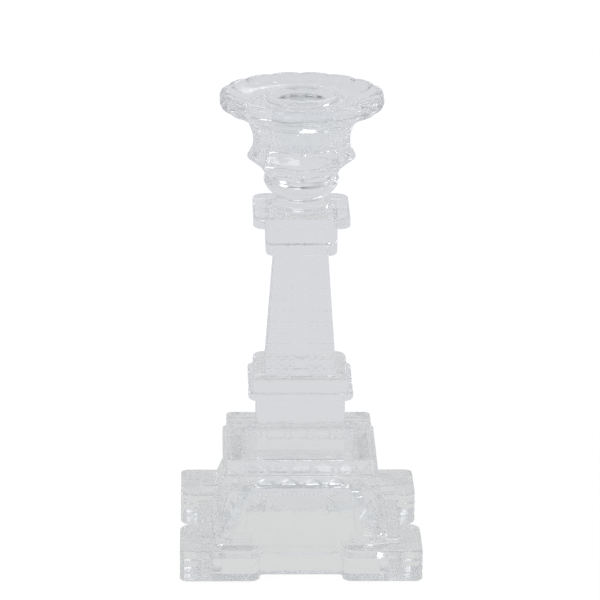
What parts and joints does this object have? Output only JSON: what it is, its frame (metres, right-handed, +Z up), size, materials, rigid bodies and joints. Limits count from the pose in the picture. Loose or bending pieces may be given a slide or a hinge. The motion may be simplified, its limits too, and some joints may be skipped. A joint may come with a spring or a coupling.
{
  "type": "glass candlestick",
  "caption": "Clear pressed-glass candlestick shaped like a lattice tower on a splayed, footed base, with a faceted cup, a candle bore and a scalloped drip pan.",
  "frame": {"origin": "on the table under the middle of the base", "axes": "+Z up along the candle's axis, -Y towards one side of the base, called the front, and +X to its right; the four sides are alike"},
  "size_m": [0.105, 0.105, 0.205],
  "materials": {
    "clear_glass": "fire-polished clear pressed glass"
  },
  "bodies": {
    "root": {"foot_front_left": "clear_glass", "foot_front_right": "clear_glass", "foot_back_left": "clear_glass", "foot_back_right": "clear_glass", "leg_front_left": "clear_glass", "leg_front_right": "clear_glass", "leg_back_left": "clear_glass", "leg_back_right": "clear_glass", "wall_front": "clear_glass", "wall_right": "clear_glass", "wall_back": "clear_glass", "wall_left": "clear_glass", "lower_platform": "clear_glass", "gallery": "clear_glass", "lower_neck": "clear_glass", "middle_platform": "clear_glass", "middle_collar": "clear_glass", "shaft": "clear_glass", "cornice": "clear_glass", "capital": "clear_glass", "knop": "clear_glass", "candle_cup": "clear_glass", "drip_pan": "clear_glass"}
  },
  "joints": []
}
